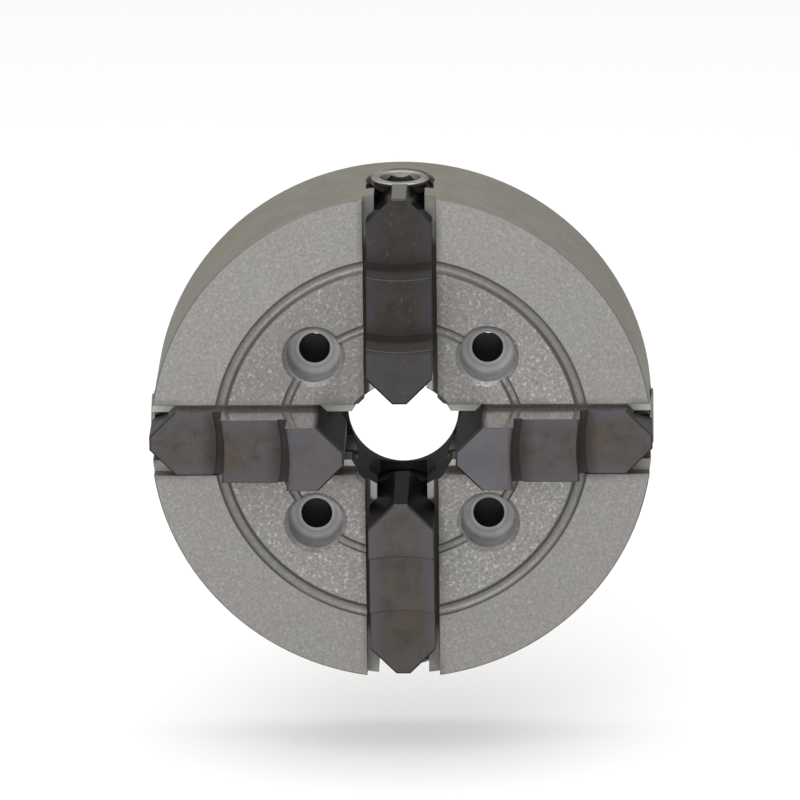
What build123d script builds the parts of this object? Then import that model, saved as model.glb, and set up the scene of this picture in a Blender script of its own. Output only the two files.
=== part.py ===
"""Four-jaw independent lathe chuck, front mounted, 125 mm.

Millimetres, +Z up, in working position on a horizontal spindle: the spindle axis is Y, the
jaws face -Y, and the origin is the centre of the back face, where the spindle register opens.

Every slot is drawn once, at the top of the chuck, and turned about Y to its place. There the
radius runs along +Z, the width across the slot along X, and depth below the front face along +Y.
"""
import os

from build123d import *

# ---- Body -----------------------------------------------------------------------------------
chuck_diameter = 125.0
body_thickness = 34.5
rim_chamfer = 0.3
rim_nick = (-10.8, 62.1)
rim_nick_radius = 0.8
rim_nick_depth = 1.2
bore_diameter = 27.8
bore_chamfer = 1.2
register_diameter = 45.0
register_depth = 6.6

# Concentric reference grooves in the face: (mean radius, width, depth)
face_grooves = [(45.6, 2.9, 0.9), (30.0, 2.2, 0.7)]

# Front mounting holes for cap screws
mounting_pcd = 61.0
mounting_hole_diameter = 7.8
counterbore_diameter = 13.8
counterbore_depth = 8.3
counterbore_chamfer = 1.0

# ---- Jaw slot: depths are below the front face ------------------------------------------------
slot_width = 18.2
slot_edge_break = 0.12
tongue_top = 3.9
tongue_gap = 12.6
tongue_bottom = 10.6
undercut_width = 16.8
undercut_bottom = 15.8
slide_clearance = 0.2

# ---- Jaw screw ----------------------------------------------------------------------------------
screw_axis_depth = 18.8
screw_major_diameter = 14.85
screw_inner_radius = 15.5
screw_outer_radius = 62.9
screw_chamfer = 0.35
screw_tunnel_diameter = 16.0
tunnel_mouth_chamfer = 0.85
thread_pitch = 2.0
thread_depth = 1.05
thread_crest_width = 0.70
thread_root_width = 1.25
thread_clearance = 0.12
thread_bury = 0.3
nut_arc = 160.0
hex_across_flats = 8.0
hex_depth = 7.0
hex_lead_in_diameter = 10.7

# ---- Thrust yoke, which holds the screw endways at its neck --------------------------------------
yoke_radius = 39.0
neck_diameter = 9.0
neck_width = 5.0
yoke_diameter = 15.0
yoke_fit = 0.05
yoke_end_play = 0.1
neck_clearance = 0.1
yoke_fork_top = 17.0
yoke_sink = 2.4

retaining_offset = 10.2
retaining_head_diameter = 7.0
retaining_head_height = 2.2
retaining_shank_diameter = 3.9
retaining_shank_length = 7.0
retaining_slot_width = 1.0
retaining_slot_depth = 1.0
head_clearance = 0.1
retaining_edge_break = 0.3
retaining_slot_turn = 35.0

# ---- Jaw: heights are above the front face, stations run outwards from the inner tip --------------
jaw_width = 16.2
jaw_length = 48.8
jaw_tip_width = 3.5
jaw_heights = [16.84, 9.80, 2.85]
jaw_step_stations = [13.5, 29.85]
jaw_step_radius = 40.0
jaw_relief_width = 2.2
jaw_relief_depth = 0.9
jaw_point_bevel = 0.45
jaw_edge_break = 0.15

# ---- The four stations: turn about Y from the top, and the radius of each jaw's inner tip ----------
stations = {
    "top": (0, 14.1),
    "right": (90, 13.75),
    "bottom": (180, 11.7),
    "left": (270, 13.9),
}

# ---- Worked out from the above ------------------------------------------------------------------
# How far a cut runs past the surface that it opens through
overshoot = 1.0
outer_radius = chuck_diameter / 2
face_y = -body_thickness
screw_y = face_y + screw_axis_depth
turns = [turn for turn, tip_radius in stations.values()]
reference_tip = stations["top"][1]
screw_minor_radius = screw_major_diameter / 2 - thread_depth
thread_start = reference_tip - 2 * thread_pitch
thread_length = jaw_length + 4 * thread_pitch


def at_depth(depth):
    """Plane parallel to the face, a depth below it, looking out of the face."""
    return Plane.XZ.offset(body_thickness - depth)


def slot_plane(turn, radius=0.0):
    """Plane across the slot at a turn, its normal pointing outwards."""
    return Plane.XY.rotated((0, turn, 0)).offset(radius)


def screw_plane(radius):
    """Plane across the top screw at a radius, centred on the screw's axis."""
    return Plane((0, screw_y, radius))


def tee_section(half_steps):
    """Closed outline across the slot from (half width, depth) pairs, mirrored about its middle."""
    right = [(half, face_y + depth) for half, depth in half_steps]
    left = [(-half, y) for half, y in reversed(right)]
    Polyline(*right, *left, close=True)


def thread_ridge(height, minor_radius, growth):
    """Left-hand thread ridge winding up Z from the X axis; growth fattens its section."""
    crest = minor_radius + thread_depth
    crest_half = thread_crest_width / 2 + growth
    flank_slope = (thread_root_width - thread_crest_width) / 2 / thread_depth
    buried_half = crest_half + flank_slope * (thread_depth + thread_bury)
    with BuildPart() as ridge:
        with BuildLine() as path:
            Helix(thread_pitch, height, minor_radius, lefthand=True)
        with BuildSketch(Plane.XZ):
            with BuildLine():
                Polyline(
                    (minor_radius - thread_bury, -buried_half),
                    (crest, -crest_half),
                    (crest, crest_half),
                    (minor_radius - thread_bury, buried_half),
                    close=True,
                )
            make_face()
        sweep(path=path.line, is_frenet=True)
    return ridge.part


os.makedirs("parts", exist_ok=True)

# ---- Chuck body -----------------------------------------------------------------------------------
with BuildPart() as chuck_body:
    with BuildSketch(Plane.XZ):
        Circle(outer_radius)
        Circle(bore_diameter / 2, mode=Mode.SUBTRACT)
    extrude(amount=body_thickness)
    rims = chuck_body.edges().filter_by(GeomType.CIRCLE)
    chamfer([edge for edge in rims if edge.radius > bore_diameter], rim_chamfer)
    front_rims = chuck_body.edges().filter_by(GeomType.CIRCLE).group_by(Axis.Y)[0]
    chamfer(front_rims.sort_by(SortBy.RADIUS)[0], bore_chamfer)

    # Spindle register in the back
    with BuildSketch(Plane.XZ):
        Circle(register_diameter / 2)
    extrude(amount=register_depth, mode=Mode.SUBTRACT)

    # Mounting holes, counterbored from the front
    with Locations(at_depth(0)):
        with PolarLocations(mounting_pcd / 2, 4, start_angle=45):
            CounterBoreHole(mounting_hole_diameter / 2, counterbore_diameter / 2, counterbore_depth)
    mouths = chuck_body.edges().filter_by(GeomType.CIRCLE).group_by(Axis.Y)[0]
    mouths = [edge for edge in mouths if abs(edge.radius - counterbore_diameter / 2) < 0.01]
    chamfer(mouths, counterbore_chamfer)

    # Reference grooves with a round bottom
    for mean_radius, width, depth in face_grooves:
        round_radius = (width**2 / 4 + depth**2) / (2 * depth)
        with BuildSketch(Plane.XY):
            with Locations((mean_radius, face_y - round_radius + depth)):
                Circle(round_radius)
        revolve(axis=Axis.Y, mode=Mode.SUBTRACT)

    # Small nick in the rim beside the top slot
    with BuildSketch(at_depth(rim_nick_depth)):
        with Locations(rim_nick):
            Circle(rim_nick_radius)
    extrude(amount=rim_nick_depth + overshoot, mode=Mode.SUBTRACT)

    # Jaw slots with their guide tongues, and the screw tunnel below each
    with BuildSketch(*[slot_plane(turn) for turn in turns]):
        with BuildLine():
            tee_section([
                (slot_width / 2 + slot_edge_break, -overshoot),
                (slot_width / 2 + slot_edge_break, 0.0),
                (slot_width / 2, slot_edge_break),
                (slot_width / 2, tongue_top),
                (tongue_gap / 2, tongue_top),
                (tongue_gap / 2, tongue_bottom),
                (undercut_width / 2, tongue_bottom),
                (undercut_width / 2, undercut_bottom),
            ])
        make_face()
        with Locations((0, screw_y)):
            Circle(screw_tunnel_diameter / 2)
    extrude(amount=outer_radius + overshoot, mode=Mode.SUBTRACT)

    # Countersunk mouth of each screw tunnel
    with BuildSketch(*[slot_plane(turn, outer_radius) for turn in turns]):
        with Locations((0, screw_y)):
            Circle(screw_tunnel_diameter / 2 + tunnel_mouth_chamfer)
    extrude(amount=-2 * tunnel_mouth_chamfer, taper=22.5, mode=Mode.SUBTRACT)

    # Yoke pockets and the holes of their retaining screws, bored from the back
    with BuildSketch(Plane.XZ):
        with PolarLocations(yoke_radius, 4):
            Circle(yoke_diameter / 2 + yoke_fit)
    extrude(amount=screw_axis_depth, mode=Mode.SUBTRACT)
    with BuildSketch(Plane.XZ):
        with PolarLocations(yoke_radius, 4):
            with Locations((0, -retaining_offset)):
                Circle(retaining_head_diameter / 2 + head_clearance)
    extrude(amount=yoke_sink, mode=Mode.SUBTRACT)
    with BuildSketch(Plane.XZ):
        with PolarLocations(yoke_radius, 4):
            with Locations((0, -retaining_offset)):
                Circle(retaining_shank_diameter / 2 + yoke_fit)
    extrude(amount=yoke_sink + retaining_shank_length + overshoot, mode=Mode.SUBTRACT)
chuck_body.part.label = "chuck_body"
export_step(chuck_body.part, "parts/chuck_body.step")

# ---- Jaw, drawn at the top station -------------------------------------------------------------
with BuildPart() as jaw_blank:
    with BuildSketch(slot_plane(0, reference_tip)):
        with BuildLine():
            tee_section([
                (jaw_width / 2, -jaw_heights[0]),
                (jaw_width / 2, tongue_top - slide_clearance),
                (tongue_gap / 2 - slide_clearance, tongue_top - slide_clearance),
                (tongue_gap / 2 - slide_clearance, tongue_bottom + slide_clearance),
                (undercut_width / 2 - slide_clearance, tongue_bottom + slide_clearance),
                (undercut_width / 2 - slide_clearance, undercut_bottom - slide_clearance),
            ])
        make_face()
    extrude(amount=jaw_length)

    # Both ends come to a blunt 45 degree point
    half_width = undercut_width / 2
    point_length = half_width - jaw_tip_width / 2
    jaw_end = reference_tip + jaw_length
    with BuildSketch(at_depth(undercut_bottom)):
        with BuildLine():
            Polyline(
                (-jaw_tip_width / 2, reference_tip),
                (jaw_tip_width / 2, reference_tip),
                (half_width, reference_tip + point_length),
                (half_width, jaw_end - point_length),
                (jaw_tip_width / 2, jaw_end),
                (-jaw_tip_width / 2, jaw_end),
                (-half_width, jaw_end - point_length),
                (-half_width, reference_tip + point_length),
                close=True,
            )
        make_face()
    extrude(amount=undercut_bottom + jaw_heights[0] + overshoot, mode=Mode.INTERSECT)

    # Each step ends in a wall hollowed to jaw_step_radius, with a relief groove at its foot
    for station, height in zip(jaw_step_stations, jaw_heights[1:]):
        wall_centre = (0, reference_tip + station + jaw_step_radius)
        with BuildSketch(at_depth(-height)):
            with Locations(wall_centre):
                Circle(jaw_step_radius)
        extrude(amount=jaw_heights[0], mode=Mode.SUBTRACT)
        with BuildSketch(at_depth(-height)):
            with Locations(wall_centre):
                Circle(jaw_step_radius)
                Circle(jaw_step_radius - jaw_relief_width, mode=Mode.SUBTRACT)
        extrude(amount=-jaw_relief_depth, mode=Mode.SUBTRACT)

    # Bevels round the two points, and broken edges along the rest of the steps' tops
    for height in jaw_heights:
        top = jaw_blank.faces().filter_by(Axis.Y).filter_by_position(
            Axis.Y, face_y - height - 0.01, face_y - height + 0.01
        )
        straight = top.edges().filter_by(GeomType.LINE)
        sides = straight.filter_by(Axis.Z)
        points = [edge for edge in straight if edge not in sides]
        if points:
            chamfer(points, jaw_point_bevel)
        top = jaw_blank.faces().filter_by(Axis.Y).filter_by_position(
            Axis.Y, face_y - height - 0.01, face_y - height + 0.01
        )
        groove_radius = jaw_step_radius - jaw_relief_width
        chamfer(
            [
                edge for edge in top.edges()
                if (edge.geom_type == GeomType.LINE and abs(edge.tangent_at(0.5).Z) > 0.99)
                or (edge.geom_type == GeomType.CIRCLE and abs(edge.radius - groove_radius) > 0.01)
            ],
            jaw_edge_break,
        )

    # Half nut: a channel round the screw, and the thread tapped into it
    with BuildSketch(screw_plane(0)):
        Circle(screw_minor_radius + 2 * thread_clearance)
    extrude(amount=jaw_end + overshoot, mode=Mode.SUBTRACT)
    groove = thread_ridge(
        nut_arc / 360 * thread_pitch, screw_minor_radius + thread_clearance, thread_clearance
    )
    first_groove = thread_start + (90 - nut_arc / 2) / 360 * thread_pitch
    with Locations(*[
        Location((0, screw_y, first_groove + turn * thread_pitch), (0, 0, nut_arc / 2 - 90))
        for turn in range(round(thread_length / thread_pitch))
    ]):
        add(groove, mode=Mode.SUBTRACT)

# ---- Jaw screw, drawn about its own axis, Z being the chuck's radius ---------------------------
crest_radius = screw_major_diameter / 2
with BuildPart() as screw_blank:
    with BuildSketch(Plane.XY.offset(thread_start - thread_pitch)):
        Circle(screw_minor_radius)
    extrude(amount=thread_length + 2 * thread_pitch)
    with Locations((0, 0, thread_start)):
        add(thread_ridge(thread_length, screw_minor_radius, 0))

    # Trimmed to length, with chamfered ends and the thrust neck
    beyond = crest_radius + screw_chamfer
    with BuildSketch(Plane.YZ):
        with BuildLine():
            Polyline(
                (0, screw_inner_radius),
                (crest_radius - screw_chamfer, screw_inner_radius),
                (beyond, screw_inner_radius + 2 * screw_chamfer),
                (beyond, yoke_radius - neck_width / 2),
                (neck_diameter / 2, yoke_radius - neck_width / 2),
                (neck_diameter / 2, yoke_radius + neck_width / 2),
                (beyond, yoke_radius + neck_width / 2),
                (beyond, screw_outer_radius - 2 * screw_chamfer),
                (crest_radius - screw_chamfer, screw_outer_radius),
                (0, screw_outer_radius),
                close=True,
            )
        make_face()
    revolve(axis=Axis.Z, mode=Mode.INTERSECT)

    # Hexagon socket with a conical lead-in
    with BuildSketch(Plane.XY.offset(screw_outer_radius)):
        RegularPolygon(hex_across_flats / 2, 6, major_radius=False)
    extrude(amount=-hex_depth, mode=Mode.SUBTRACT)
    with BuildSketch(Plane.YZ):
        with BuildLine():
            Polyline(
                (0, screw_outer_radius),
                (hex_lead_in_diameter / 2, screw_outer_radius),
                (0, screw_outer_radius - hex_lead_in_diameter / 2),
                close=True,
            )
        make_face()
    revolve(axis=Axis.Z, mode=Mode.SUBTRACT)

# ---- Thrust yoke: a plug from the back, whose forked blade straddles the screw's neck ------------
with BuildPart() as yoke_blank:
    with BuildSketch(Plane.XZ.offset(yoke_sink)):
        with Locations((0, yoke_radius)):
            Circle(yoke_diameter / 2)
    extrude(amount=body_thickness - yoke_sink - yoke_fork_top)
    # Saddle clear of the screw either side of the blade
    blade_half = neck_width / 2 - yoke_end_play
    beside_blade = [
        screw_plane(yoke_radius + blade_half),
        Plane((0, screw_y, yoke_radius - blade_half), z_dir=(0, 0, -1)),
    ]
    with BuildSketch(*beside_blade):
        Circle(screw_tunnel_diameter / 2)
    extrude(amount=yoke_diameter, mode=Mode.SUBTRACT)
    # Notch for the neck
    with BuildSketch(screw_plane(yoke_radius - blade_half)):
        Circle(neck_diameter / 2 + neck_clearance)
        with Locations((0, -neck_diameter)):
            Rectangle(neck_diameter + 2 * neck_clearance, 2 * neck_diameter)
    extrude(amount=2 * blade_half, mode=Mode.SUBTRACT)

# ---- Retaining screw: a slotted cheese head beside the yoke, its head lapping the yoke's rim --------
with BuildPart() as retaining_blank:
    seat = Plane.XZ.offset(yoke_sink)
    with BuildSketch(seat):
        with Locations((retaining_offset, yoke_radius)):
            Circle(retaining_head_diameter / 2)
    extrude(amount=-retaining_head_height)
    chamfer(retaining_blank.edges().group_by(Axis.Y)[-1], retaining_edge_break)
    with BuildSketch(seat):
        with Locations((retaining_offset, yoke_radius)):
            Circle(retaining_shank_diameter / 2)
    extrude(amount=retaining_shank_length)
    with BuildSketch(Plane.XZ.offset(yoke_sink - retaining_head_height)):
        with Locations((retaining_offset, yoke_radius)):
            Rectangle(
                retaining_head_diameter + overshoot, retaining_slot_width, rotation=retaining_slot_turn
            )
    extrude(amount=retaining_slot_depth, mode=Mode.SUBTRACT)

# ---- One of each at every station ------------------------------------------------------------------
for side, (turn, tip_radius) in stations.items():
    station = Location((0, 0, 0), (0, turn, 0))
    shift = tip_radius - reference_tip
    with BuildPart() as jaw:
        with Locations(station):
            with Locations((0, 0, shift)):
                add(jaw_blank.part)
    with BuildPart() as jaw_screw:
        with Locations(station):
            with Locations(Location((0, screw_y, 0), (0, 0, 360 * shift / thread_pitch))):
                add(screw_blank.part)
    with BuildPart() as thrust_yoke:
        with Locations(station):
            add(yoke_blank.part)
    with BuildPart() as retaining_screw:
        with Locations(station):
            add(retaining_blank.part)

    pieces = {
        "jaw_" + side: jaw,
        "jaw_screw_" + side: jaw_screw,
        "thrust_yoke_" + side: thrust_yoke,
        "yoke_retaining_screw_" + side: retaining_screw,
    }
    for name, piece in pieces.items():
        piece.part.label = name
        export_step(piece.part, "parts/" + name + ".step")
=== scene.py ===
"""Looks for the four-jaw independent lathe chuck: metals, light, floor and camera. Metres."""
import math
from collections import namedtuple
from types import SimpleNamespace

import bpy
from mathutils import Matrix, Vector


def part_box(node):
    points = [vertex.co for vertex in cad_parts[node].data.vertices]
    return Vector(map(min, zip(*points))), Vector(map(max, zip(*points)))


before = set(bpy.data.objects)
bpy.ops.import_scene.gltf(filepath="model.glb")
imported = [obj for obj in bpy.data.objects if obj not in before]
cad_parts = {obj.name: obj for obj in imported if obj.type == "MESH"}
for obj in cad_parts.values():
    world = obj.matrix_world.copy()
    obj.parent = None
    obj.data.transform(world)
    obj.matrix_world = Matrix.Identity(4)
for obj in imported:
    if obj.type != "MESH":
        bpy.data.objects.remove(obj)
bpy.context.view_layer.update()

# ---- Body ----------------------------------------------------------------------------------------
body_low, body_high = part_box("chuck_body")
FACE_Y = body_low.y
RIM_START = body_high.x - 0.0004
BORE_RADIUS = 0.0139
SLOT_HALF = 0.0091
BOLT_CIRCLE_RADIUS = 0.0305
BOLT_OFFSET = BOLT_CIRCLE_RADIUS * math.sqrt(0.5)
COUNTERBORE_RADIUS = 0.0069
HOLE_RADIUS = 0.0039
SEAT_DEPTH = 0.0083

# Reference grooves in the face: (mean radius, half width)
GROOVES = ((0.0456, 0.00145), (0.0300, 0.0011))

# The face is strongly speckled inside this radius
SPECKLED_RADIUS = 0.0440

# Depths below the face, past its grooves and past the tops of the tongues, as (start, end) of a fade
PAST_GROOVES = (0.0014, 0.0020)
PAST_TONGUES = (0.0045, 0.0048)

# Inner ends of the tongues, painted bright (painted light): how far they reach from the axis, and half
# their width
LIP_RADIUS = 0.0175
LIP_HALF = 0.0076

# Distances from the axis at which the painted shade on the tongues and the oil on the back thin out, as
# (start, end)
TONGUE_SHADE_END = (0.0490, 0.0535)
BACK_OIL_END = (0.05, 0.06)

# A mask runs on this far past the edge of its region, so that it covers the whole surface
MARGIN = 0.0001

# ---- Jaws and screws -----------------------------------------------------------------------------
# The farthest that a jaw's outer end goes from the spindle axis
JAW_REACH = 0.0834

# Along a jaw from its tip: where the painted shade on its nose fades, as (start, end), and the edges of
# its steps
JAW_NOSE_END = (0.0060, 0.0085)
STEP_EDGES = (0.0135, 0.02985)

# Past each step's edge: the width of the relief, and where the darkening beside it ends
RELIEF_WIDTH = 0.0022
DARKENING_END = 0.0065

# Heights of the reliefs' floors in front of the face
RELIEF_FLOORS = (0.0089, 0.00195)

# Depths below the face at which painted shade darkens a jaw's flanks, as (start, end)
JAW_IN_SLOT = (0.0034, 0.0040)

# Across a jaw from its middle: where its brown fades to the blue of the edges, as (start, end)
BLUE_EDGE = (0.0035, 0.0078)

# Out from the spindle axis: a screw's end, where the painted shade deep in its socket lightens, and
# where the painted shade on its threads ends
SCREW_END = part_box("jaw_screw_top")[1].z
SOCKET_LIGHTER = (0.0585, 0.0615)
SCREW_SHADE_END = (0.046, 0.052)

# Each station's turn about the spindle, how light its jaw is painted (painted light and shade: lit and
# shaded copies of one steel), how blue the jaw's inner step is, and how dark its steps are beside their
# reliefs
Station = namedtuple("Station", "turn lightness bluing burn")
STATIONS = {
    "top": Station(0, 0.52, 0.2, 0.5),
    "right": Station(90, 1.0, 0.85, 0.5),
    "bottom": Station(180, 0.97, 0.1, 0.0),
    "left": Station(270, 0.98, 0.5, 0.5),
}

# ---- Studio --------------------------------------------------------------------------------------
FLOOR_GAP = 0.001
FLOOR_Z = -JAW_REACH - FLOOR_GAP
WORLD_AT_HORIZON = 0.58
WORLD_OVERHEAD = 0.74
FLOOR_BOUNCE = 0.60


# ---- Camera, looking slightly down on the chuck --------------------------------------------------
def make_camera():
    target = Vector((-0.000208, FACE_Y, 0.010347))
    distance = 2.1253
    elevation = math.radians(16.642)
    azimuth = math.radians(1.355)
    roll = math.radians(-0.611)
    back = Vector((
        math.sin(azimuth) * math.cos(elevation),
        -math.cos(azimuth) * math.cos(elevation),
        math.sin(elevation),
    ))
    right = Vector((math.cos(azimuth), math.sin(azimuth), 0))
    up = back.cross(right)
    rolled_right = right * math.cos(roll) + up * math.sin(roll)
    rolled_up = up * math.cos(roll) - right * math.sin(roll)
    data = bpy.data.cameras.new("camera")
    data.sensor_width = 36
    data.lens = 384.66
    data.clip_end = 50
    camera = bpy.data.objects.new("camera", data)
    turn = Matrix((rolled_right, rolled_up, back)).transposed().to_4x4()
    camera.matrix_world = Matrix.Translation(target + back * distance) @ turn
    bpy.context.scene.collection.objects.link(camera)
    bpy.context.scene.camera = camera


# ---- Light, world and floor ----------------------------------------------------------------------
def area_light(name, place, aim, size, watts):
    data = bpy.data.lights.new(name, "AREA")
    data.shape = "RECTANGLE"
    data.size, data.size_y = size
    data.energy = watts
    light = bpy.data.objects.new(name, data)
    light.location = place
    light.rotation_euler = (Vector(aim) - Vector(place)).to_track_quat("-Z", "Y").to_euler()
    bpy.context.scene.collection.objects.link(light)


def make_world():
    """Even studio light, a little brighter overhead than at the horizon."""
    world = bpy.data.worlds.new("studio")
    world.use_nodes = True
    tree = world.node_tree
    height = tree.nodes.new("ShaderNodeSeparateXYZ")
    tree.links.new(tree.nodes.new("ShaderNodeTexCoord").outputs["Generated"], height.inputs[0])
    strength = tree.nodes.new("ShaderNodeMapRange")
    strength.inputs["From Min"].default_value = 0.0
    strength.inputs["From Max"].default_value = 0.9
    strength.inputs["To Min"].default_value = WORLD_AT_HORIZON
    strength.inputs["To Max"].default_value = WORLD_OVERHEAD
    tree.links.new(height.outputs["Z"], strength.inputs["Value"])
    background = tree.nodes["Background"]
    background.inputs["Color"].default_value = (1, 0.995, 0.98, 1)
    tree.links.new(strength.outputs["Result"], background.inputs["Strength"])
    bpy.context.scene.world = world


def make_floor():
    """Pale floor, below the reach of the lowest jaw. It looks paler than the light it throws back."""
    bpy.ops.mesh.primitive_plane_add(size=12, location=(0, 0, FLOOR_Z))
    floor = bpy.context.object
    floor.name = "floor"
    material = bpy.data.materials.new("pale_floor")
    material.use_nodes = True
    tree = material.node_tree
    seen = tree.nodes["Principled BSDF"]
    seen.inputs["Base Color"].default_value = (0.93, 0.93, 0.93, 1)
    seen.inputs["Roughness"].default_value = 0.9
    seen.inputs["Specular IOR Level"].default_value = 0.0
    seen.inputs["Emission Color"].default_value = (1, 1, 1, 1)
    seen.inputs["Emission Strength"].default_value = 0.12
    bounced = tree.nodes.new("ShaderNodeBsdfDiffuse")
    bounced.inputs["Color"].default_value = (FLOOR_BOUNCE, FLOOR_BOUNCE, FLOOR_BOUNCE, 1)
    choose = tree.nodes.new("ShaderNodeMixShader")
    tree.links.new(tree.nodes.new("ShaderNodeLightPath").outputs["Is Camera Ray"], choose.inputs[0])
    tree.links.new(bounced.outputs[0], choose.inputs[1])
    tree.links.new(seen.outputs[0], choose.inputs[2])
    tree.links.new(choose.outputs[0], tree.nodes["Material Output"].inputs["Surface"])
    floor.data.materials.append(material)


def make_studio():
    make_world()
    make_floor()
    centre = (0, FACE_Y / 2, 0)
    area_light("overhead_softbox", place=(0.0, -0.25, 1.1), aim=centre, size=(1.6, 1.2), watts=6.5)
    area_light("front_softbox", place=(-0.3, -1.3, 0.6), aim=centre, size=(1.1, 1.1), watts=8)


# ---- Node helpers --------------------------------------------------------------------------------
class Nodes:
    """Short ways to make and join the nodes of one material."""

    def __init__(self, name):
        self.material = bpy.data.materials.new(name)
        self.material.use_nodes = True
        self.tree = self.material.node_tree
        self.shader = self.tree.nodes["Principled BSDF"]

    def new(self, kind, **settings):
        node = self.tree.nodes.new(kind)
        for key, value in settings.items():
            setattr(node, key, value)
        return node

    def feed(self, socket, value):
        if isinstance(value, bpy.types.NodeSocket):
            self.tree.links.new(value, socket)
        elif isinstance(value, (tuple, list)) and len(value) == 3 and len(socket.default_value) == 4:
            socket.default_value = (*value, 1)
        else:
            socket.default_value = value

    def math(self, operation, a, b=0.0):
        node = self.new("ShaderNodeMath", operation=operation)
        for socket, value in zip(node.inputs, (a, b)):
            self.feed(socket, value)
        return node.outputs[0]

    def size_of(self, value):
        return self.math("ABSOLUTE", value)

    def times(self, product, *factors):
        for factor in factors:
            product = self.math("MULTIPLY", product, factor)
        return product

    def apart(self, a, b):
        """How far apart two values are, whichever is the larger."""
        return self.size_of(self.math("SUBTRACT", a, b))

    def length(self, a, b):
        return self.math("SQRT", self.math("ADD", self.times(a, a), self.times(b, b)))

    def ramp(self, value, start, end, at_start=0.0, at_end=1.0):
        """Map a value from [start, end] smoothly to [at_start, at_end], and hold it there."""
        node = self.new("ShaderNodeMapRange", interpolation_type="SMOOTHSTEP")
        names = ("Value", "From Min", "From Max", "To Min", "To Max")
        for name, item in zip(names, (value, start, end, at_start, at_end)):
            self.feed(node.inputs[name], item)
        return node.outputs["Result"]

    def within(self, value, limit, fade=MARGIN):
        """1 up to a margin past a limit, then fading to 0."""
        edge = limit + MARGIN
        return self.ramp(value, edge + fade, edge)

    def mix(self, factor, a, b):
        node = self.new("ShaderNodeMix", data_type="RGBA")
        self.feed(node.inputs[0], factor)
        self.feed(node.inputs[6], a)
        self.feed(node.inputs[7], b)
        return node.outputs[2]

    def mottled(self, noise, dark, light):
        return self.mix(self.ramp(noise, 0.35, 0.65), dark, light)

    def noise(self, vector, scale, detail, roughness, distortion=0.0):
        node = self.new("ShaderNodeTexNoise")
        self.feed(node.inputs["Vector"], vector)
        self.feed(node.inputs["Scale"], scale)
        self.feed(node.inputs["Detail"], detail)
        self.feed(node.inputs["Roughness"], roughness)
        self.feed(node.inputs["Distortion"], distortion)
        return node.outputs["Fac"]

    def mapped(self, vector, scale=(1, 1, 1), turn=(0, 0, 0), shift=(0, 0, 0)):
        node = self.new("ShaderNodeMapping")
        self.feed(node.inputs["Vector"], vector)
        self.feed(node.inputs["Scale"], scale)
        self.feed(node.inputs["Rotation"], turn)
        self.feed(node.inputs["Location"], shift)
        return node.outputs["Vector"]

    def bump(self, height, strength, distance, normal=None):
        node = self.new("ShaderNodeBump")
        self.feed(node.inputs["Height"], height)
        self.feed(node.inputs["Strength"], strength)
        self.feed(node.inputs["Distance"], distance)
        if normal is not None:
            self.feed(node.inputs["Normal"], normal)
        return node.outputs["Normal"]

    def parts(self, vector):
        node = self.new("ShaderNodeSeparateXYZ")
        self.feed(node.inputs[0], vector)
        return node.outputs

    def joined(self, a, b, c):
        node = self.new("ShaderNodeCombineXYZ")
        for socket, value in zip(node.inputs, (a, b, c)):
            self.feed(socket, value)
        return node.outputs[0]

    def point(self):
        """The point on the surface, in metres."""
        return self.new("ShaderNodeTexCoord").outputs["Object"]

    def facing(self):
        """The way the surface faces."""
        return self.new("ShaderNodeTexCoord").outputs["Normal"]

    def finish(self, colour, roughness, metallic, normal):
        self.feed(self.shader.inputs["Base Color"], colour)
        self.feed(self.shader.inputs["Roughness"], roughness)
        self.shader.inputs["Metallic"].default_value = metallic
        self.feed(self.shader.inputs["Normal"], normal)
        return self.material


# ---- Body: ground and turned cast iron -----------------------------------------------------------
def body_places(n):
    """Where on the body a point lies, as values and as masks that are 1 inside a region."""
    at = SimpleNamespace(point=n.point())
    at.x, at.y, at.z = n.parts(at.point)
    at.facing_y = n.parts(n.facing())[1]
    at.radius = n.length(at.x, at.z)
    far_x = n.size_of(at.x)
    far_z = n.size_of(at.z)
    at.off_centre = n.math("MINIMUM", far_x, far_z)
    at.from_bolt = n.length(n.math("SUBTRACT", far_x, BOLT_OFFSET), n.math("SUBTRACT", far_z, BOLT_OFFSET))

    at.front = n.ramp(at.facing_y, -0.60, -0.68)
    at.back = n.ramp(at.facing_y, 0.75, 0.9)
    at.rim = n.ramp(at.radius, RIM_START, RIM_START + MARGIN)
    at.bore = n.within(at.radius, BORE_RADIUS)

    # Floors of the slots: the tops of the tongues, and what lies deeper
    past_grooves, past_tongues = (
        n.ramp(at.y, FACE_Y + start, FACE_Y + end) for start, end in (PAST_GROOVES, PAST_TONGUES))
    at.slot_floor = n.times(at.front, past_grooves, n.within(at.off_centre, SLOT_HALF))
    at.deep_floor = n.times(at.slot_floor, past_tongues)
    at.lip = n.times(n.ramp(at.radius, LIP_RADIUS + 0.001, LIP_RADIUS),
                     n.ramp(at.off_centre, LIP_HALF + 0.0006, LIP_HALF))
    in_side_slot = n.ramp(n.math("SUBTRACT", far_x, far_z), 0, 0.001)
    at.upper_side_tongue = n.times(in_side_slot, n.ramp(at.z, -0.001, 0.001))

    # Mounting holes: counterbores down to their seats, then the holes
    seat_y = FACE_Y + SEAT_DEPTH
    at.counterbore = n.times(n.within(at.from_bolt, COUNTERBORE_RADIUS, fade=2 * MARGIN),
                             n.within(at.y, seat_y, fade=2 * MARGIN))
    at.hole = n.times(n.within(at.from_bolt, HOLE_RADIUS, fade=2 * MARGIN),
                      n.ramp(at.y, seat_y, seat_y + MARGIN))
    return at


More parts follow.
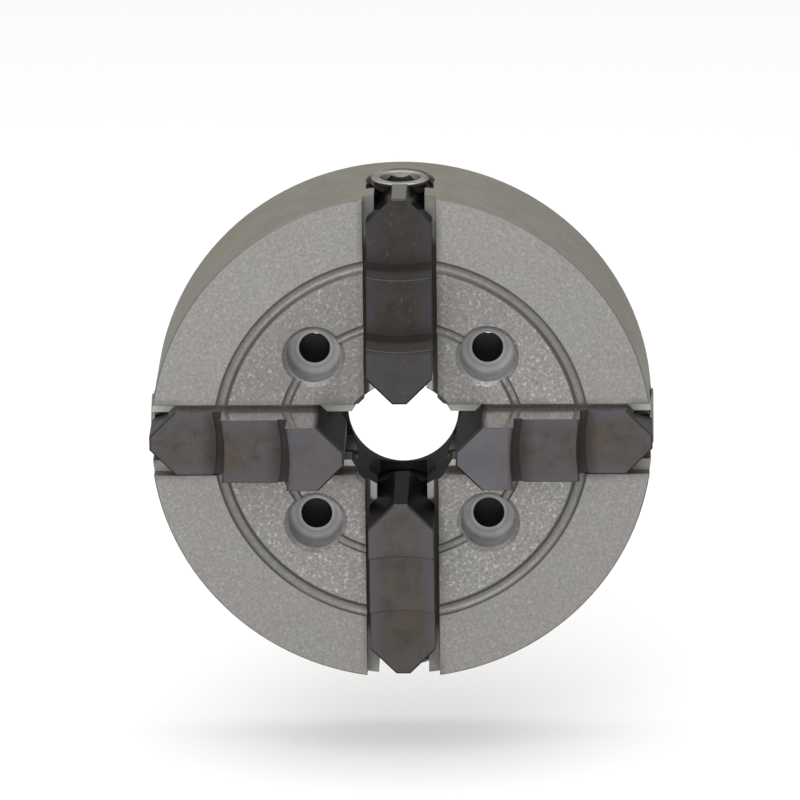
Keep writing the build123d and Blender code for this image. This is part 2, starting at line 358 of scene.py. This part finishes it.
def speckled_iron(n, at, patches, specks, grain):
    """Pink and green-grey patches, with bright and dark specks, strongest near the centre."""
    iron = n.mix(n.ramp(patches, 0.40, 0.60), (0.350, 0.318, 0.313), (0.335, 0.335, 0.322))
    strength = n.ramp(at.radius, SPECKLED_RADIUS, SPECKLED_RADIUS + 0.0005, 0.95, 0.30)
    # The back face is speckled evenly
    strength = n.math("MAXIMUM", strength, n.ramp(at.facing_y, 0, 1, 0, 0.55))
    strength = n.math("MINIMUM", strength, n.ramp(at.facing_y, 0, 1, 0.95, 0.55))
    iron = n.mix(n.times(n.ramp(specks, 0.545, 0.675), strength), iron, (0.80, 0.78, 0.75))
    iron = n.mix(n.times(n.ramp(specks, 0.46, 0.32), strength, 0.8), iron, (0.160, 0.153, 0.148))
    grained = n.mix(n.ramp(grain, 0.3, 0.7), (0.24, 0.230, 0.225), (0.43, 0.415, 0.402))
    return n.mix(0.35, iron, grained)


def face_shade_and_dirt(n, at, iron, patches):
    """Painted shade at the grooves' edges and the rim's chamfer; darker across the grooves and to the
    upper left; dirt beside the slots.
    """
    groove_edge_shade = (0.085, 0.078, 0.072)
    for mean, half in GROOVES:
        from_middle = n.apart(at.radius, mean)
        from_inner_edge = n.apart(at.radius, mean - 0.85 * half)
        from_outer_edge = n.apart(at.radius, mean + 0.97 * half)
        # Darker across each groove, with painted shade along its inner and outer edges
        iron = n.mix(n.ramp(from_middle, half, 0.8 * half, 0, 0.45), iron, (0.150, 0.143, 0.136))
        iron = n.mix(n.ramp(from_inner_edge, 0.50 * half, 0.20 * half, 0, 0.70), iron, groove_edge_shade)
        iron = n.mix(n.ramp(from_outer_edge, 0.20 * half, 0.08 * half, 0, 0.60), iron, groove_edge_shade)
    # Darker towards the upper left, near the centre
    upper_left = n.ramp(n.math("SUBTRACT", at.z, n.times(at.x, 0.7)), -0.02, 0.035, 0, 0.34)
    near_centre = n.ramp(at.radius, SPECKLED_RADIUS + 0.002, SPECKLED_RADIUS - 0.002)
    iron = n.mix(n.times(upper_left, near_centre), iron, (0.155, 0.148, 0.142))
    beside_slot = n.ramp(at.off_centre, SLOT_HALF + 0.0022, SLOT_HALF)
    iron = n.mix(n.times(beside_slot, n.ramp(patches, 0.35, 0.6, 0.1, 0.6)), iron, (0.165, 0.152, 0.140))
    # Painted shade on the rim's chamfer, which damps the highlight it catches
    rim_edge = n.times(n.ramp(at.radius, RIM_START, RIM_START + 2 * MARGIN),
                       n.ramp(at.facing_y, -0.95, -0.85))
    return n.mix(rim_edge, iron, (0.20, 0.195, 0.185))


def turned_seat_painted_bright(n, at, patches):
    """Counterbores painted bright, painted light that lifts the shade in them, with rings left by the
    cutter.
    """
    rings = n.noise(n.joined(at.from_bolt, at.y, 0.0), 2400, 1, 0.5)
    seat = n.mottled(rings, (0.36, 0.36, 0.365), (0.56, 0.56, 0.56))
    return n.mix(n.ramp(patches, 0.40, 0.65, 0, 0.4), seat, (0.20, 0.20, 0.205))


def tongue_tops(n, at, film):
    """Painted shade on the tongues, with darker mottles and lighter by the rim; painted light on their
    inner ends and the side slots' upper tongues.
    """
    # Painted shade on the tongues' tops, fading out towards the rim
    tongue = n.mix(n.ramp(at.radius, *TONGUE_SHADE_END), (0.085, 0.077, 0.071), (0.36, 0.35, 0.335))
    tongue = n.mix(n.ramp(film, 0.4, 0.6, 0, 0.4), tongue, (0.070, 0.066, 0.060))
    # Painted light on the tongues' inner ends and on the side slots' upper tongues
    return n.mix(n.math("MAXIMUM", at.lip, at.upper_side_tongue), tongue, (0.60, 0.587, 0.565))


def body_iron():
    """Cast iron: a speckled face with turned grooves, an olive turned rim, and a bore painted near black
    (painted shade).
    """
    n = Nodes("body_iron")
    at = body_places(n)
    patches = n.noise(at.point, 75, 3, 0.55)
    film = n.noise(at.point, 110, 4, 0.6)
    grain = n.noise(at.point, 1500, 2, 0.6)
    specks = n.noise(n.mapped(at.point, turn=(0.4, 0.3, 0.9)), 1250, 3, 0.7)
    round_the_axis = n.joined(n.math("ARCTAN2", at.z, at.x), at.radius, at.y)
    lines = n.noise(n.mapped(round_the_axis, scale=(1.2, 1, 1)), 2600, 2, 0.5)

    iron = speckled_iron(n, at, patches, specks, grain)
    rim = n.mottled(film, (0.232, 0.222, 0.172), (0.272, 0.254, 0.214))
    rim = n.mix(n.ramp(lines, 0.3, 0.7, 0, 0.35), rim, (0.150, 0.146, 0.120))
    # Painted shade: the walls of the slots and grooves painted dark
    shaded_slot_wall = n.mottled(film, (0.130, 0.118, 0.105), (0.200, 0.185, 0.168))
    # Painted shade: the bore near black
    bore = n.mottled(film, (0.010, 0.011, 0.011), (0.022, 0.023, 0.022))

    colour = n.mix(at.rim, shaded_slot_wall, rim)
    colour = n.mix(at.front, colour, face_shade_and_dirt(n, at, iron, patches))
    colour = n.mix(at.slot_floor, colour, tongue_tops(n, at, film))
    # Painted shade: the slots' floors below the tongues
    colour = n.mix(at.deep_floor, colour, (0.050, 0.047, 0.044))
    # Painted light: the counterbores painted bright
    colour = n.mix(at.counterbore, colour, turned_seat_painted_bright(n, at, patches))
    # Painted shade: the mounting holes near black
    colour = n.mix(at.hole, colour, (0.004, 0.004, 0.006))
    colour = n.mix(at.bore, colour, bore)
    oily_back = n.mix(n.ramp(at.radius, *BACK_OIL_END, 0.25, 0.05), iron, (0.22, 0.21, 0.195))
    colour = n.mix(at.back, colour, oily_back)

    roughness = n.ramp(specks, 0.3, 0.7, 0.52, 0.40)
    dull = n.times(n.math("MAXIMUM", at.bore, at.hole), 0.75)
    roughness = n.math("MAXIMUM", roughness, dull)
    pits = n.bump(n.math("ADD", n.times(specks, 0.7), n.times(grain, 0.3)), 0.25, 0.0002)
    normal = n.bump(lines, n.ramp(at.front, 0, 1, 0.06, 0.0), 0.0001, pits)
    return n.finish(colour, roughness, 0.65, normal)


# ---- Jaws: hardened steel ------------------------------------------------------------------------
def tip_radius(side):
    """How far a jaw's inner tip stands from the spindle axis."""
    low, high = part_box("jaw_" + side)
    return {"top": low.z, "right": low.x, "bottom": -high.z, "left": -high.x}[side]


def jaw_tops(n, station, moved, fine, across, depth, from_tip):
    """Tops of the steps: mottled brown between blue edges, the inner step bluer, painted shade in the
    reliefs.
    """
    # The colours are scaled by the station's painted lightness: painted light and shade on each jaw
    brown, blue, stain = (
        tuple(station.lightness * part for part in colour)
        for colour in ((0.126, 0.107, 0.093), (0.126, 0.121, 0.132), (0.080, 0.068, 0.056)))
    mottle = n.noise(moved, 75, 4, 0.6, 0.6)
    blotch = n.noise(moved, 210, 4, 0.7)
    middle = n.ramp(n.size_of(across), BLUE_EDGE[1], BLUE_EDGE[0])
    top = n.mix(n.times(middle, n.ramp(mottle, 0.26, 0.62)), blue, brown)
    top = n.mix(n.times(middle, n.ramp(blotch, 0.40, 0.70, 0, 0.6)), top, stain)
    top = n.mix(n.ramp(fine, 0.60, 0.80, 0, 0.5), top, (0.22, 0.20, 0.18))

    inner_step = n.ramp(from_tip, STEP_EDGES[0], STEP_EDGES[0] - 0.001, 0, station.bluing)
    top = n.mix(inner_step, top, n.mottled(mottle, (0.150, 0.146, 0.164), (0.182, 0.176, 0.193)))
    # Each step is darker beside its relief
    for edge in STEP_EDGES:
        past = n.math("SUBTRACT", from_tip, edge)
        darkened = n.times(n.ramp(past, DARKENING_END, RELIEF_WIDTH, 0, station.burn), n.ramp(past, 0.0, 0.0004))
        top = n.mix(darkened, top, (0.034, 0.025, 0.024))
    # Painted shade in the reliefs
    higher, lower = (n.apart(depth, FACE_Y - height) for height in RELIEF_FLOORS)
    in_relief = n.ramp(n.math("MINIMUM", higher, lower), 0.0006, 0.0004, 0, 0.42)
    return n.mix(in_relief, top, (0.030, 0.024, 0.022))


def jaw_flanks(n, moved, depth, nose, facing_sideways, facing_outwards):
    """Flanks ground bright, with painted shade on the inner ends, at the nose and down in the slot; the
    flat outer end is grey.
    """
    scuffs = n.noise(n.mapped(moved, scale=(1, 0.15, 1)), 1500, 2, 0.5)
    bright = n.mottled(scuffs, (0.58, 0.575, 0.56), (0.70, 0.69, 0.67))
    # Painted shade on the faces that don't look sideways, such as the inner ends
    flank = n.mix(n.ramp(n.size_of(facing_sideways), 0.80, 0.92), (0.060, 0.060, 0.066), bright)
    # Painted shade at the nose
    flank = n.mix(nose, flank, (0.026, 0.026, 0.025))
    # Painted shade down in the slot
    in_slot = n.ramp(depth, FACE_Y + JAW_IN_SLOT[0], FACE_Y + JAW_IN_SLOT[1])
    flank = n.mix(in_slot, flank, (0.020, 0.020, 0.021))
    return n.mix(n.ramp(facing_outwards, 0.80, 0.92), flank, (0.34, 0.335, 0.315))


def jaw_steel(side, station, seed):
    """Hardened jaw: dark, mottled brown and blue on its steps, ground bright on its flanks."""
    n = Nodes("jaw_steel_" + side)
    point = n.point()
    # The jaw's own frame: X across, Y along the spindle, Z outwards
    upright = (0, math.radians(-station.turn), 0)
    across, depth, out = n.parts(n.mapped(point, turn=upright))
    facing_sideways, facing_back, facing_outwards = n.parts(n.mapped(n.facing(), turn=upright))
    from_tip = n.math("SUBTRACT", out, tip_radius(side))
    front = n.ramp(facing_back, -0.50, -0.65)
    bevel = n.times(front, n.ramp(facing_back, -0.95, -0.85))
    nose = n.ramp(from_tip, JAW_NOSE_END[1], JAW_NOSE_END[0])
    moved = n.mapped(point, shift=(seed * 0.31, seed * 0.17, seed * 0.23))
    fine = n.noise(moved, 900, 3, 0.65)

    top = jaw_tops(n, station, moved, fine, across, depth, from_tip)
    # Painted shade on the chamfers, which damps their highlights
    top = n.mix(bevel, top, (0.065, 0.064, 0.066))
    flank = jaw_flanks(n, moved, depth, nose, facing_sideways, facing_outwards)
    roughness = n.math("MAXIMUM", n.ramp(front, 0, 1, 0.16, 0.38), n.ramp(nose, 0, 1, 0, 0.38))
    n.shader.inputs["Specular Tint"].default_value = (0.45, 0.45, 0.45, 1)
    return n.finish(n.mix(front, flank, top), roughness, 0.85, n.bump(fine, 0.10, 0.0001))


# ---- Screws and yokes ----------------------------------------------------------------------------
def screw_steel():
    """Jaw screw: a clean turned end, then painted shade: a darker socket, and threads painted black."""
    n = Nodes("screw_steel")
    point = n.point()
    x, _, z = n.parts(point)
    out = n.math("MAXIMUM", n.size_of(x), n.size_of(z))
    film = n.noise(point, 160, 4, 0.6)
    fine = n.noise(point, 1500, 2, 0.6)
    end_face = (SCREW_END - 0.0004, SCREW_END - 0.0002)
    end = n.mottled(film, (0.34, 0.335, 0.312), (0.45, 0.44, 0.415))
    # Painted shade: the socket darker than the end
    socket = n.mottled(film, (0.13, 0.128, 0.122), (0.21, 0.205, 0.195))
    # Painted shade: near black deep in the socket and on the threads, lighter towards the socket's mouth
    colour = n.mix(n.ramp(out, *SOCKET_LIGHTER), (0.030, 0.029, 0.027), socket)
    colour = n.mix(n.ramp(out, *end_face), colour, end)
    scratch = n.mix(0.6, colour, (0.6, 0.59, 0.57))
    colour = n.mix(n.ramp(fine, 0.55, 0.8, 0, 0.3), colour, scratch)
    # Painted shade: the threads black inside the body
    colour = n.mix(n.ramp(out, SCREW_SHADE_END[1], SCREW_SHADE_END[0]), colour, (0.012, 0.012, 0.013))
    n.shader.inputs["Specular Tint"].default_value = (0.5, 0.5, 0.5, 1)
    return n.finish(colour, n.ramp(out, *end_face, 0.34, 0.50), 0.9, n.bump(fine, 0.12, 0.0001))


def turned_steel(name, dark, light, rough):
    """Turned steel with a mottled film of oil and fine scratches."""
    n = Nodes(name)
    point = n.point()
    fine = n.noise(point, 1500, 2, 0.6)
    colour = n.mottled(n.noise(point, 160, 4, 0.6), dark, light)
    colour = n.mix(n.ramp(fine, 0.55, 0.8, 0, 0.4), colour, tuple(1.6 * part for part in light))
    roughness = n.ramp(fine, 0.3, 0.7, rough - 0.06, rough + 0.06)
    return n.finish(colour, roughness, 1.0, n.bump(fine, 0.12, 0.0001))


def dress(node, material):
    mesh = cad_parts[node].data
    mesh.materials.clear()
    mesh.materials.append(material)


bpy.context.scene.view_settings.view_transform = "Standard"
make_camera()
make_studio()

dress("chuck_body", body_iron())
screw_finish = screw_steel()
yoke_steel = turned_steel("yoke_steel", (0.24, 0.235, 0.22), (0.34, 0.33, 0.32), 0.40)
fastener_steel = turned_steel("fastener_steel", (0.045, 0.045, 0.048), (0.07, 0.07, 0.075), 0.42)
for seed, (side, station) in enumerate(STATIONS.items(), start=1):
    dress("jaw_" + side, jaw_steel(side, station, seed))
    dress("jaw_screw_" + side, screw_finish)
    dress("thrust_yoke_" + side, yoke_steel)
    dress("yoke_retaining_screw_" + side, fastener_steel)
